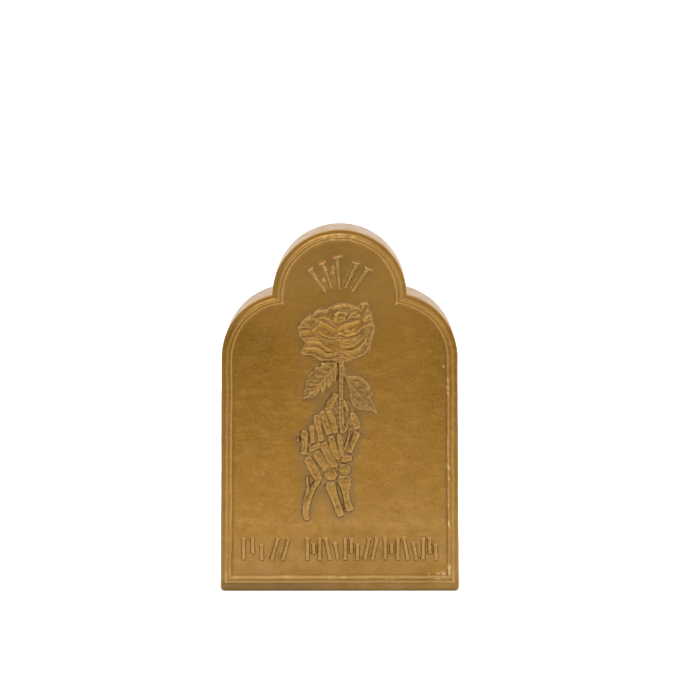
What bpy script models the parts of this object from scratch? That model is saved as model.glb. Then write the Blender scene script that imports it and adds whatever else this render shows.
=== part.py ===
"""A small bronze memorial plaque that stands by itself, cast in one piece.

A thick slab with a round arch between two round shoulders carries a moulded frame. In the frame,
in low relief, a skeleton hand holds up a rose under five nails, over a line of raised strokes.
Units are metres. +Z is up, the carved face looks along -Y, and the origin is under the middle.
"""

import math

import bmesh
import bpy

# Slab: its three main sizes, and what follows from them
FOOT_WIDTH = 0.1000
HEIGHT = 0.1521
SLAB_DEPTH = 0.0280
ARCH_RADIUS = 0.277 * FOOT_WIDTH
SHOULDER_RADIUS = 0.272 * FOOT_WIDTH
SHOULDER_CENTRE_HEIGHT = 0.650 * HEIGHT
SIDE_LEAN = math.radians(0.75)
FOOT_CORNER_RADIUS = 0.0018
EDGE_ROUNDING = 0.0009

# Frame moulding on the face: how far its outer foot stands in from the edge, and its own section
FRAME_MARGIN = 0.0016
FRAME_FOOT_MARGIN = 0.0033
FRAME_WIDTH = 0.0033
FRAME_RISE = 0.0005
FRAME_CORNER_RADIUS = 0.0004
FIELD_SINK = 0.0004

# Relief: how far each kind of carving stands out of the field, and how deep its blank runs in
ROSE_RISE = 0.0017
ROSE_BED_RISE = 0.0008
BONE_RISE = 0.0012
STEM_RISE = 0.0009
LEAF_RISE = 0.0009
NAIL_RISE = 0.0007
STROKE_RISE = 0.0009
BLANK_SINK = 0.0006
BLANK_SINK_STEP = 0.000012

# The figure is drawn on a grid of squares, counted from its centre line and from its lowest bone
FIGURE_WIDTH = 0.318 * FOOT_WIDTH
FIGURE_HEIGHT = 0.601 * HEIGHT
FIGURE_FOOT = 0.197 * HEIGHT
SQUARES_ACROSS = 77
SQUARES_UP = 218
SQUARE = FIGURE_WIDTH / SQUARES_ACROSS

# Five nails above the rose, in squares: head, point
NAILS = (
    ((-28.2, 252), (-13.7, 230.5)),
    ((-16.7, 257.5), (-7.2, 234.5)),
    ((-1.7, 264), (0.3, 234)),
    ((16.8, 258), (5.8, 235)),
    ((28.8, 253), (13.8, 231.5)),
)
NAIL_HALF_WIDTH = 1.6
NAIL_HEAD_HALF_LENGTH = 3.2

# Rose, in squares, from the back petals to the front: start, halfway, end, half width
PETALS = (
    ((-26, 205), (-17, 209), (-7, 207), 4.8),
    ((-4, 213), (8, 215.5), (20, 213), 3.0),
    ((20, 205), (23.5, 212), (26.5, 217), 3.4),
    ((22, 198), (27.5, 202.5), (33, 206), 2.6),
    ((-40, 194), (-35, 199), (-28, 197.5), 3.6),
    ((-36, 202), (-31, 205), (-26, 203), 2.2),
    ((9, 203), (13.5, 208), (19, 210.5), 3.2),
    ((-4, 205.5), (2, 206.5), (7.5, 205.5), 4.3),
    ((31, 188), (32.5, 180), (29, 171), 1.5),
    ((-1, 191.5), (10, 196), (22, 201), 4.0),
    ((-26, 193), (-16, 196), (-2, 187.5), 4.8),
    ((-2, 186.5), (17, 188.5), (34, 198.5), 2.4),
    ((-39, 188), (-22, 186), (-3, 177), 4.2),
    ((-2, 179), (15, 180.5), (28, 191.5), 4.0),
    ((-35, 180), (-22, 178.5), (-9, 171), 2.2),
    ((1, 170), (20, 172), (30.5, 186), 4.4),
    ((-37, 172), (-21, 169.5), (-1, 166), 4.4),
    ((-4, 162), (2, 164), (9, 162), 2.8),
)
ROSE_BED_CENTRE = (-3, 189)
ROSE_BED_HALF_SIZE = (31, 23)

# Hand and forearm, in squares: top, halfway, foot, then half widths at those three places
BONES = (
    ((-4.5, 127), (-8.2, 121), (-11.2, 114.8), (2.8, 3.7, 3.2)),
    ((-10, 113), (-6, 104.5), (-3, 95), (3.4, 2.9, 3.1)),
    ((-16.5, 110), (-13.5, 100), (-10.5, 90), (2.9, 3.6, 3.6)),
    ((-22, 105.5), (-20.5, 94), (-18.5, 82.5), (3.4, 2.9, 3.4)),
    ((-28, 96), (-27, 88), (-26.5, 80.5), (2.7, 2.1, 2.5)),
    ((-34.8, 90), (-34.8, 79), (-35.6, 69), (3.7, 2.9, 3.4)),
    ((-28.7, 72.5), (-24.2, 75), (-19.4, 77.4), (2.4, 2.9, 2.2)),
    ((-31, 63), (-26, 53), (-21, 43), (4.1, 4.4, 4.0)),
    ((-22.4, 69), (-18, 61.5), (-13.2, 54), (4.4, 4.3, 4.0)),
    ((-15.6, 78), (-10.6, 66.5), (-5.2, 56), (4.0, 3.8, 3.7)),
    ((-7.6, 84.5), (-5.4, 74), (-1.2, 63), (3.6, 3.3, 2.5)),
    ((0.3, 86), (0.8, 76), (2, 66), (2.5, 2.6, 2.0)),
    ((5.8, 122.5), (6.8, 117), (8.5, 111), (1.5, 1.8, 1.5)),
    ((13.3, 109.5), (15.6, 102), (17.5, 94), (2.9, 3.9, 3.8)),
    ((18.3, 89.5), (14.6, 80), (10.3, 70), (3.7, 3.2, 3.6)),
    ((7.7, 98.5), (7, 95), (5.8, 91), (1.6, 1.8, 1.6)),
    ((10, 89), (8, 81), (5.5, 73), (1.3, 1.7, 1.3)),
    ((2.4, 61.2), (6.8, 63.2), (10.8, 64.6), (1.7, 3.3, 3.0)),
    ((-32.3, 46), (-32.3, 34), (-33.5, 22), (1.8, 1.9, 2.5)),
    ((-25.5, 43), (-31, 24), (-33.2, 0.5), (4.7, 3.6, 3.5)),
    ((-8.5, 39), (-4.3, 21), (0.5, 2), (5.8, 6.0, 3.4)),
    ((5.6, 43), (6, 27), (10.8, 10.5), (7.3, 3.4, 3.7)),
)

# The two round wrist bones, in squares: centre, radius
WRIST_BONES = (((-8.7, 47.5), 6.9), ((5.4, 52.8), 5.9))

# Stem and leaf stalk, in squares: top, halfway, foot, half width
STEMS = (
    ((2, 161), (1.5, 127), (3, 92), 2.2),
    ((4, 157), (6, 148), (10, 143), 1.2),
)

# Leaves, in squares: base, a point halfway along the midrib, tip, half width
LEAVES = (
    ((-2.5, 158), (-17, 143), (-34.5, 124.5), 11.5),
    ((8, 144.5), (21, 133), (36, 111.5), 11.0),
)
LEAF_TEETH = 5
LEAF_TOOTH_DEPTH = 0.22

# Line of raised strokes under the figure, in two groups
LINE_FOOT = 0.0865 * HEIGHT
LINE_HEIGHT = 0.0660 * HEIGHT
LINE_GROUPS = (
    (-0.410 * FOOT_WIDTH, -0.202 * FOOT_WIDTH),
    (-0.148 * FOOT_WIDTH, 0.408 * FOOT_WIDTH),
)
SIGN_KINDS = ("AC", "DBACDBA")
SIGN_SHARE = 0.80
STROKE_HALF_WIDTH = 0.0100 * FOOT_WIDTH

# Strokes of each kind of sign, as shares of its width and height: both ends of every stroke
SIGNS = {
    "A": (((0.10, 0.0), (0.10, 1.0)), ((0.50, 0.28), (0.50, 1.0)), ((0.90, 0.0), (0.90, 0.72))),
    "B": (((0.40, 0.0), (0.10, 1.0)), ((0.92, 0.0), (0.68, 0.80))),
    "C": (((0.10, 0.0), (0.42, 1.0)), ((0.58, 0.0), (0.90, 1.0))),
    "D": (((0.18, 0.0), (0.18, 1.0)), ((0.60, 0.26), (0.60, 0.74)), ((0.98, 0.0), (0.98, 1.0))),
}

# Sections across a shape: place as a share of its half width, height as a share of its rise
FRAME_SECTION = (
    (0.0, 0.0),
    (0.12, 0.60),
    (0.26, 1.0),
    (0.42, 0.55),
    (0.56, 0.45),
    (0.72, 1.0),
    (0.84, 0.70),
)
ROUND_SECTION = ((-1.0, 0.35), (-0.60, 0.86), (0.0, 1.0), (0.60, 0.86), (1.0, 0.35))
LEAF_SECTION = (
    (-1.0, 0.55),
    (-0.70, 0.80),
    (-0.16, 0.50),
    (0.0, 1.0),
    (0.16, 0.50),
    (0.70, 0.80),
    (1.0, 0.55),
)
FLAT_SECTION = ((-1.0, 0.40), (-0.55, 1.0), (0.55, 1.0), (1.0, 0.40))

# Along a shape: place, width as a share of its own, height as a share of its rise
BLUNT_ENDS = (
    (0.0, 0.74, 0.60),
    (0.08, 0.98, 0.95),
    (0.30, 1.0, 1.0),
    (0.50, 1.0, 1.0),
    (0.70, 1.0, 1.0),
    (0.92, 0.98, 0.95),
    (1.0, 0.74, 0.60),
)
POINTED_ENDS = (
    (0.0, 0.30, 0.50),
    (0.20, 0.82, 0.90),
    (0.50, 1.0, 1.0),
    (0.80, 0.82, 0.90),
    (1.0, 0.30, 0.50),
)
SQUARE_ENDS = ((0.0, 1.0, 1.0), (1.0, 1.0, 1.0))
NAIL_ENDS = ((0.0, 1.0, 1.0), (0.7, 0.85, 1.0), (1.0, 0.45, 0.7))

# How finely round shapes are cut
ARCH_STEPS = 32
SHOULDER_STEPS = 12
CORNER_STEPS = 3
EDGE_STEPS = 3
BED_STEPS = 20
KNOB_STEPS = 10

# The slab and the carving together stand evenly about the origin, from front to back
CARVING_PROUD = ROSE_RISE - FIELD_SINK
FACE_Y = (CARVING_PROUD - SLAB_DEPTH) / 2
FIELD_Y = FACE_Y + FIELD_SINK

BRONZE = (0.300, 0.150, 0.037, 1.0)
BRONZE_METALLIC = 0.85
BRONZE_ROUGHNESS = 0.42


def clear_scene():
    """Removes the objects a new file starts with."""
    for obj in list(bpy.data.objects):
        bpy.data.objects.remove(obj, do_unlink=True)


def arc(centre, radius, start, end, steps):
    """Points on an arc seen from the front, from one angle to another, both included."""
    points = []
    for step in range(steps + 1):
        angle = start + (end - start) * step / steps
        points.append((centre[0] + radius * math.cos(angle), centre[1] + radius * math.sin(angle)))
    return points


def notch_angles(arch, shoulder, gap):
    """Angles, on the arch and on a shoulder whose centre is gap away, of the point where they meet."""
    distance = math.hypot(*gap)
    along = (arch**2 - shoulder**2 + distance**2) / (2 * distance)
    on_arch = math.atan2(gap[1], gap[0]) + math.acos(along / arch)
    across = arch * math.cos(on_arch) - gap[0]
    up = arch * math.sin(on_arch) - gap[1]
    return on_arch, math.atan2(up, across)


def outline(inset, foot_inset, corner):
    """The slab's outline moved in along the sides and top, and up at the foot.

    It runs from the foot's right corner over the arch to the left corner, always in as many points.
    """
    arch_centre = (0.0, HEIGHT - ARCH_RADIUS)
    lean_across = math.cos(SIDE_LEAN)
    lean_up = math.sin(SIDE_LEAN)
    side = FOOT_WIDTH / 2 * lean_across
    shoulder_x = (side - SHOULDER_RADIUS - SHOULDER_CENTRE_HEIGHT * lean_up) / lean_across
    shoulder_centre = (shoulder_x, SHOULDER_CENTRE_HEIGHT)
    corner_z = foot_inset + corner
    corner_x = (side - inset - corner - corner_z * lean_up) / lean_across

    arch = ARCH_RADIUS - inset
    shoulder = SHOULDER_RADIUS - inset
    gap = (shoulder_x, SHOULDER_CENTRE_HEIGHT - arch_centre[1])
    on_arch, on_shoulder = notch_angles(arch, shoulder, gap)

    right = arc((corner_x, corner_z), corner, -math.pi / 2, SIDE_LEAN, CORNER_STEPS)
    right += arc(shoulder_centre, shoulder, SIDE_LEAN, on_shoulder, SHOULDER_STEPS)
    top = arc(arch_centre, arch, on_arch, math.pi - on_arch, ARCH_STEPS)[1:-1]
    left = [(-x, z) for x, z in reversed(right)]
    return right + top + left


def skin(mesh, loops):
    """Joins each loop of vertices to the next, and closes the first and the last."""
    count = len(loops[0])
    for first, second in zip(loops, loops[1:]):
        for i in range(count):
            j = (i + 1) % count
            mesh.faces.new((first[i], first[j], second[j], second[i]))
    mesh.faces.new(list(reversed(loops[0])))
    mesh.faces.new(loops[-1])


def new_object(name, mesh, collection, material=None):
    """Closes a mesh under construction into an object of its own."""
    bmesh.ops.recalc_face_normals(mesh, faces=mesh.faces)
    data = bpy.data.meshes.new(name)
    mesh.to_mesh(data)
    mesh.free()
    if material:
        data.materials.append(material)
    obj = bpy.data.objects.new(name, data)
    collection.objects.link(obj)
    return obj


def build_slab(collection, material):
    """The slab: a loft through outlines from the back, over the frame moulding, to the field."""
    mesh = bmesh.new()
    loops = []

    def add_loop(points, y):
        loops.append([mesh.verts.new((x, y, z)) for x, z in points])

    back_y = FACE_Y + SLAB_DEPTH
    quarter = [math.pi / 2 * step / EDGE_STEPS for step in range(EDGE_STEPS + 1)]
    for angle in quarter:
        inset = EDGE_ROUNDING * (1 - math.sin(angle))
        points = outline(inset, inset, FOOT_CORNER_RADIUS)
        add_loop(points, back_y - EDGE_ROUNDING * (1 - math.cos(angle)))
    for angle in reversed(quarter):
        inset = EDGE_ROUNDING * (1 - math.sin(angle))
        points = outline(inset, inset, FOOT_CORNER_RADIUS)
        add_loop(points, FACE_Y + EDGE_ROUNDING * (1 - math.cos(angle)))
    for share, height in FRAME_SECTION:
        inset = share * FRAME_WIDTH
        points = outline(FRAME_MARGIN + inset, FRAME_FOOT_MARGIN + inset, FRAME_CORNER_RADIUS)
        add_loop(points, FACE_Y - height * FRAME_RISE)
    points = outline(
        FRAME_MARGIN + FRAME_WIDTH, FRAME_FOOT_MARGIN + FRAME_WIDTH, FRAME_CORNER_RADIUS
    )
    add_loop(points, FIELD_Y)
    skin(mesh, loops)
    return new_object("plaque", mesh, collection, material)


def on_face(point):
    """A point of the figure's grid, in metres across and up the face."""
    return (
        point[0] * SQUARE,
        FIGURE_FOOT + point[1] * FIGURE_HEIGHT / SQUARES_UP,
    )


def through(values, t):
    """A smooth curve through three values, at its start, halfway and at its end."""
    start, middle, end = values
    return start * (1 - t) * (1 - 2 * t) + middle * 4 * t * (1 - t) + end * t * (2 * t - 1)


def slope(values, t):
    """How steeply that curve runs."""
    start, middle, end = values
    return start * (4 * t - 3) + middle * (4 - 8 * t) + end * (4 * t - 1)


def halfway(start, end):
    """The point between two points."""
    return ((start[0] + end[0]) / 2, (start[1] + end[1]) / 2)


class Carver:
    """Makes the blanks of the relief, each sunk a little deeper than the one before."""

    def __init__(self, collection):
        self.collection = collection
        self.count = 0

    def next_sink(self):
        self.count += 1
        return FIELD_Y + BLANK_SINK + self.count * BLANK_SINK_STEP

    def ridge(self, path, half_widths, rise, section, stations):
        """A raised shape along a path of three points, lofted through sections that change."""
        mesh = bmesh.new()
        floor = self.next_sink()
        across = [point[0] for point in path]
        up = [point[1] for point in path]
        loops = []
        for t, width_share, height_share in stations:
            x = through(across, t)
            z = through(up, t)
            ahead_x = slope(across, t)
            ahead_z = slope(up, t)
            length = math.hypot(ahead_x, ahead_z)
            half = through(half_widths, t) * width_share
            side_x = -ahead_z / length * half
            side_z = ahead_x / length * half
            loop = []
            for share, height in section:
                y = FIELD_Y - rise * height * height_share
                loop.append(mesh.verts.new((x + side_x * share, y, z + side_z * share)))
            loop.append(mesh.verts.new((x + side_x, floor, z + side_z)))
            loop.append(mesh.verts.new((x - side_x, floor, z - side_z)))
            loops.append(loop)
        skin(mesh, loops)
        bmesh.ops.triangulate(mesh, faces=mesh.faces)
        return new_object(f"blank_{self.count}", mesh, self.collection)

    def dome(self, centre, half_size, rise, steps):
        """A raised oval shape with a rounded top."""
        mesh = bmesh.new()
        floor = self.next_sink()
        levels = (
            (1.0, floor),
            (1.0, FIELD_Y - 0.35 * rise),
            (0.72, FIELD_Y - 0.84 * rise),
            (0.36, FIELD_Y - rise),
        )
        loops = []
        for share, y in levels:
            loop = []
            for step in range(steps):
                angle = 2 * math.pi * step / steps
                x = centre[0] + share * half_size[0] * math.cos(angle)
                z = centre[1] + share * half_size[1] * math.sin(angle)
                loop.append(mesh.verts.new((x, y, z)))
            loops.append(loop)
        skin(mesh, loops)
        bmesh.ops.triangulate(mesh, faces=mesh.faces)
        return new_object(f"blank_{self.count}", mesh, self.collection)


def carve_nails(carver):
    """Five nails in a fan, each a tapering shank under a short head across it."""
    for head, point in NAILS:
        start, end = on_face(head), on_face(point)
        half = NAIL_HALF_WIDTH * SQUARE
        path = (start, halfway(start, end), end)
        carver.ridge(path, (half, half, half), NAIL_RISE, FLAT_SECTION, NAIL_ENDS)
        length = math.hypot(end[0] - start[0], end[1] - start[1])
        reach = NAIL_HEAD_HALF_LENGTH * SQUARE / length
        side = ((end[1] - start[1]) * reach, (start[0] - end[0]) * reach)
        left = (start[0] - side[0], start[1] - side[1])
        right = (start[0] + side[0], start[1] + side[1])
        path = (left, start, right)
        carver.ridge(path, (half, half, half), 1.1 * NAIL_RISE, FLAT_SECTION, SQUARE_ENDS)


def carve_rose(carver):
    """A domed bed with the rose's petals on it."""
    centre = on_face(ROSE_BED_CENTRE)
    half_size = [size * SQUARE for size in ROSE_BED_HALF_SIZE]
    carver.dome(centre, half_size, ROSE_BED_RISE, BED_STEPS)
    for start, middle, end, half_width in PETALS:
        path = [on_face(point) for point in (start, middle, end)]
        half = half_width * SQUARE
        carver.ridge(path, (half, half, half), ROSE_RISE, ROUND_SECTION, POINTED_ENDS)


def carve_stem_and_leaves(carver):
    """The stem the hand holds, and two toothed leaves with raised midribs."""
    for start, middle, end, half_width in STEMS:
        path = [on_face(point) for point in (start, middle, end)]
        half = half_width * SQUARE
        carver.ridge(path, (half, half, half), STEM_RISE, ROUND_SECTION, POINTED_ENDS)
    stations = []
    for step in range(2 * LEAF_TEETH + 1):
        t = step / (2 * LEAF_TEETH)
        swell = math.sin(math.pi * (0.06 + 0.88 * t)) ** 0.7
        notch = 1 - LEAF_TOOTH_DEPTH * (step % 2)
        stations.append((t, swell * notch, 0.55 + 0.45 * swell))
    for start, middle, end, half_width in LEAVES:
        path = [on_face(point) for point in (start, middle, end)]
        half = half_width * SQUARE
        carver.ridge(path, (half, half, half), LEAF_RISE, LEAF_SECTION, stations)


def carve_hand(carver):
    """Finger bones, palm bones, wrist bones and the bones of the forearm."""
    for top, middle, foot, half_widths in BONES:
        path = [on_face(point) for point in (top, middle, foot)]
        halves = [half_width * SQUARE for half_width in half_widths]
        carver.ridge(path, halves, BONE_RISE, ROUND_SECTION, BLUNT_ENDS)
    for centre, radius in WRIST_BONES:
        half = radius * SQUARE
        carver.dome(on_face(centre), (half, half), BONE_RISE, KNOB_STEPS)


def carve_line(carver):
    """The line of raised strokes, sign by sign."""
    half = STROKE_HALF_WIDTH
    for (left, right), kinds in zip(LINE_GROUPS, SIGN_KINDS):
        pitch = (right - left) / (len(kinds) - 1 + SIGN_SHARE)
        for place, kind in enumerate(kinds):
            for stroke in SIGNS[kind]:
                ends = []
                for across, up in stroke:
                    x = left + pitch * (place + SIGN_SHARE * across)
                    ends.append((x, LINE_FOOT + LINE_HEIGHT * up))
                path = (ends[0], halfway(*ends), ends[1])
                carver.ridge(path, (half, half, half), STROKE_RISE, FLAT_SECTION, SQUARE_ENDS)


def join(obj, blanks):
    """Joins the blanks to an object for good, as one solid."""
    union = obj.modifiers.new("relief", "BOOLEAN")
    union.operation = "UNION"
    union.operand_type = "COLLECTION"
    union.collection = blanks
    union.solver = "EXACT"
    evaluated = obj.evaluated_get(bpy.context.evaluated_depsgraph_get())
    joined = bpy.data.meshes.new_from_object(evaluated)
    obj.modifiers.remove(union)
    obj.data = joined

    mesh = bmesh.new()
    mesh.from_mesh(joined)
    bmesh.ops.remove_doubles(mesh, verts=mesh.verts, dist=0.000001)
    bmesh.ops.triangulate(mesh, faces=mesh.faces)
    mesh.to_mesh(joined)
    mesh.free()


def bronze():
    """Satin bronze."""
    material = bpy.data.materials.new("bronze")
    material.use_nodes = True
    shader = material.node_tree.nodes["Principled BSDF"]
    shader.inputs["Base Color"].default_value = BRONZE
    shader.inputs["Metallic"].default_value = BRONZE_METALLIC
    shader.inputs["Roughness"].default_value = BRONZE_ROUGHNESS
    return material


def main():
    clear_scene()
    scene = bpy.context.scene
    parts = bpy.data.collections.new("bronze_plaque")
    blanks = bpy.data.collections.new("relief_blanks")
    scene.collection.children.link(parts)
    scene.collection.children.link(blanks)

    plaque = build_slab(parts, bronze())
    carver = Carver(blanks)
    carve_nails(carver)
    carve_stem_and_leaves(carver)
    carve_rose(carver)
    carve_hand(carver)
    carve_line(carver)
    for blank in blanks.objects:
        blank.hide_render = True
        blank.display_type = "WIRE"

    join(plaque, blanks)
    plaque.data.shade_smooth()
    plaque.data.set_sharp_from_angle(angle=math.radians(32))


main()
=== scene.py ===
"""The looks of a small bronze memorial plaque: its fine relief, its metal, and a plain studio.

The plaque's whole surface is one mesh. Its carving is worked out as a height map over the face,
in millimetres, from shapes placed on a drawing grid, and the mesh is finest where the map bends.
"""

import math

import bpy
import numpy as np
from mathutils import Euler, Matrix, Vector
from mathutils.geometry import delaunay_2d_cdt


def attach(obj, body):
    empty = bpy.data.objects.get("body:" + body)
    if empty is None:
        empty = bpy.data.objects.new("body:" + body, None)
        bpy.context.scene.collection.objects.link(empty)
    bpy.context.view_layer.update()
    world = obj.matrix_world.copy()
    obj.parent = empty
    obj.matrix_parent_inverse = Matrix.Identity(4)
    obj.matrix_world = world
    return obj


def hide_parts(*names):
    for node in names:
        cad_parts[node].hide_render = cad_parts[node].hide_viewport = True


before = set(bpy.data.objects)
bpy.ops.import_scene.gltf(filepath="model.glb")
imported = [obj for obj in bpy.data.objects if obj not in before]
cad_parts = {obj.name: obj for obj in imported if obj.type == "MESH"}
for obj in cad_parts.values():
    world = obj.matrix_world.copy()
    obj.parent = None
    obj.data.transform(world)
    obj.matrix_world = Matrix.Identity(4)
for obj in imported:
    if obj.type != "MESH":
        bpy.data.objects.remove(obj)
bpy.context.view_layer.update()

MM = 0.001

# Slab, in millimetres, as in the solid, apart from the smaller rounding of its front edge
FOOT_WIDTH = 100
HEIGHT = 152.1
SLAB_DEPTH = 28
ARCH_RADIUS = 0.277 * FOOT_WIDTH
SHOULDER_RADIUS = 0.272 * FOOT_WIDTH
SHOULDER_CENTRE_HEIGHT = 0.65 * HEIGHT
SIDE_LEAN = math.radians(0.75)
FOOT_CORNER_RADIUS = 1.8
EDGE_ROUNDING = 0.9
FRONT_ROUNDING = 0.55
FRAME_MARGIN = 1.6
FRAME_FOOT_MARGIN = 3.3
FRAME_WIDTH = 3.3
FRAME_RISE = 0.5
FRAME_CORNER_RADIUS = 0.4
FIELD_SINK = 0.4
ROSE_RISE = 1.7
FACE_Y = (ROSE_RISE - FIELD_SINK - SLAB_DEPTH) / 2
BACK_Y = FACE_Y + SLAB_DEPTH

# Drawing grid: squares are counted right and down, and its centre line and foot are fixed here
SQUARE_ACROSS = 0.318 * FOOT_WIDTH / 77
SQUARE_UP = 0.601 * HEIGHT / 218
FIGURE_FOOT = 0.197 * HEIGHT
GRID_CENTRE = 339.6
GRID_FOOT = 522

# Height map: millimetres to a cell, and the face's corner in it
CELL = 0.1
MAP_LEFT = -53
MAP_FOOT = -3
MAP_SHAPE = (1580, 1060)

# Mesh: spacings, how many points may lie at the finest one, and how many steps the edge
# roundings and each part of the outline have
SPACING = 0.25
BACK_SPACING = 3
FINE_POINTS = 44000
ROUNDING_STEPS = 6
SIDE_LOOPS = 11
FRAME_LOOPS = 22
INNER_EDGE = FRAME_WIDTH + 0.35
FOOT_STEPS = 88
CORNER_STEPS = 6
SIDE_STEPS = 88
SHOULDER_STEPS = 40
ARCH_STEPS = 92

# Heights on the face that part its zones, in millimetres
LINE_ZONE_TOP = 26
FOREARM_TOP = 52
HAND_TOP = 92
NAILS_FOOT = 128

rng = np.random.default_rng(41)


# Outline


def arc(centre, radius, start, end, steps):
    """Points on a round stretch, without its end."""
    angles = start + (end - start) * np.arange(steps) / steps
    return np.column_stack((centre[0] + radius * np.cos(angles), centre[1] + radius * np.sin(angles)))


def straight(start, end, steps):
    """Points on a straight stretch, without its end."""
    share = (np.arange(steps) / steps)[:, None]
    return np.array(start) * (1 - share) + np.array(end) * share


# The sides' lean, and where they and the shoulders' centres are
LEAN_ACROSS = math.cos(SIDE_LEAN)
LEAN_UP = math.sin(SIDE_LEAN)
SIDE = FOOT_WIDTH / 2 * LEAN_ACROSS
SHOULDER_X = (SIDE - SHOULDER_RADIUS - SHOULDER_CENTRE_HEIGHT * LEAN_UP) / LEAN_ACROSS
ARCH_CENTRE = (0, HEIGHT - ARCH_RADIUS)
SHOULDER_CENTRE = (SHOULDER_X, SHOULDER_CENTRE_HEIGHT)


def outline(inset, foot_inset, corner):
    """The slab's outline moved in, anticlockwise from the middle of the foot, as x and z."""
    corner_z = foot_inset + corner
    corner_x = (SIDE - inset - corner - corner_z * LEAN_UP) / LEAN_ACROSS
    arch = ARCH_RADIUS - inset
    shoulder = SHOULDER_RADIUS - inset
    gap = (SHOULDER_X, SHOULDER_CENTRE_HEIGHT - ARCH_CENTRE[1])
    distance = math.hypot(*gap)
    along = (arch**2 - shoulder**2 + distance**2) / (2 * distance)
    on_arch = math.atan2(gap[1], gap[0]) + math.acos(along / arch)
    across = arch * math.cos(on_arch) - gap[0]
    up = arch * math.sin(on_arch) - gap[1]
    on_shoulder = math.atan2(up, across)

    corner_arc = arc((corner_x, corner_z), corner, -math.pi / 2, SIDE_LEAN, CORNER_STEPS)
    side_foot = (corner_x + corner * LEAN_ACROSS, corner_z + corner * LEAN_UP)
    side_top = (SHOULDER_X + shoulder * LEAN_ACROSS, SHOULDER_CENTRE_HEIGHT + shoulder * LEAN_UP)
    right = (
        straight((0, foot_inset), (corner_x, foot_inset), FOOT_STEPS // 2),
        corner_arc,
        straight(side_foot, side_top, SIDE_STEPS),
        arc(SHOULDER_CENTRE, shoulder, SIDE_LEAN, on_shoulder, SHOULDER_STEPS),
        arc(ARCH_CENTRE, arch, on_arch, math.pi / 2, ARCH_STEPS // 2),
    )
    right = np.vstack(right)
    top = np.array([[0, ARCH_CENTRE[1] + arch]])
    left = right[1:][::-1] * np.array([-1, 1])
    return np.vstack((right, top, left))


def inset_of(x, z):
    """How far each place is inside the slab's sides and top."""
    ax = np.abs(x)
    from_arch = ARCH_RADIUS - np.hypot(ax, z - ARCH_CENTRE[1])
    dx, dz = ax - SHOULDER_X, z - SHOULDER_CENTRE_HEIGHT
    from_side = SIDE - (ax * LEAN_ACROSS + z * LEAN_UP)
    from_round = SHOULDER_RADIUS - np.hypot(dx, dz)
    from_top = SHOULDER_RADIUS - dz
    body = np.where(dx < 0, from_top, from_round)
    below = dz * LEAN_ACROSS < dx * LEAN_UP
    body = np.where(below, from_side, body)
    body = np.where((dz < 0) & (dx < 0), from_side, body)
    return np.maximum(from_arch, body)


# Height map

map_x = MAP_LEFT + CELL * np.arange(MAP_SHAPE[1])
map_z = MAP_FOOT + CELL * np.arange(MAP_SHAPE[0])
GX, GZ = np.meshgrid(map_x, map_z)
frequency_x = np.fft.rfftfreq(MAP_SHAPE[1], CELL)
frequency_z = np.fft.fftfreq(MAP_SHAPE[0], CELL)
frequency = np.hypot(*np.meshgrid(frequency_x, frequency_z))


def grain(wavelength, stretch=1):
    """Even random unevenness of about one wavelength, stretched across the face."""
    white = np.fft.rfft2(rng.standard_normal(MAP_SHAPE))
    fx, fz = np.meshgrid(frequency_x * stretch, frequency_z)
    band = np.exp(-((np.hypot(fx, fz) * wavelength) ** 2) * 2.5)
    result = np.fft.irfft2(white * band, s=MAP_SHAPE)
    result -= result.mean()
    return result / result.std()


def grains(rows):
    """Several grains added up, each given as its height, its wavelength and its stretch."""
    return sum(size * grain(wavelength, stretch) for size, wavelength, stretch in rows)


def blur(values, sigma):
    """A soft copy of a map."""
    band = np.exp(-2 * (math.pi * sigma * frequency) ** 2)
    return np.fft.irfft2(np.fft.rfft2(values) * band, s=MAP_SHAPE)


def smoothstep(t):
    """A soft step from 0 to 1."""
    t = np.clip(t, 0, 1)
    return t * t * (3 - 2 * t)


def rising(values, start, width):
    """A soft step up, over a width from its start."""
    return smoothstep((values - start) / width)


def falling(values, end, width):
    """A soft step down, over a width before its end."""
    return smoothstep((end - values) / width)


def bell(values, middle, width):
    """A soft line of 1 at a middle value."""
    return np.exp(-(((values - middle) / width) ** 2))


def sample(values, x, z):
    """Values of a map at places between its cells."""
    u = np.clip((x - MAP_LEFT) / CELL, 0, MAP_SHAPE[1] - 2.001)
    v = np.clip((z - MAP_FOOT) / CELL, 0, MAP_SHAPE[0] - 2.001)
    i, j = u.astype(int), v.astype(int)
    f, g = u - i, v - j
    low = values[j, i] * (1 - f) + values[j, i + 1] * f
    high = values[j + 1, i] * (1 - f) + values[j + 1, i + 1] * f
    return low * (1 - g) + high * g


def at(point):
    """A place on the face, in millimetres, from squares counted right and down."""
    return (
        (point[0] - GRID_CENTRE) * SQUARE_ACROSS,
        FIGURE_FOOT + (GRID_FOOT - point[1]) * SQUARE_UP,
    )


def smooth_path(points, steps=5):
    """A smooth curve through the points, all their columns alike."""
    pts = np.array(points, dtype=float)
    if len(pts) == 2:
        share = np.linspace(0, 1, 3)[:, None]
        return pts[0] * (1 - share) + pts[1] * share
    padded = np.vstack((2 * pts[0] - pts[1], pts, 2 * pts[-1] - pts[-2]))
    result = []
    for a, b, c, d in zip(padded, padded[1:], padded[2:], padded[3:]):
        for t in np.arange(steps) / steps:
            low_terms = 2 * b + (c - a) * t + (2 * a - 5 * b + 4 * c - d) * t * t
            result.append(0.5 * (low_terms + (3 * b - a - 3 * c + d) * t**3))
    result.append(pts[-1])
    return np.array(result)


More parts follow.
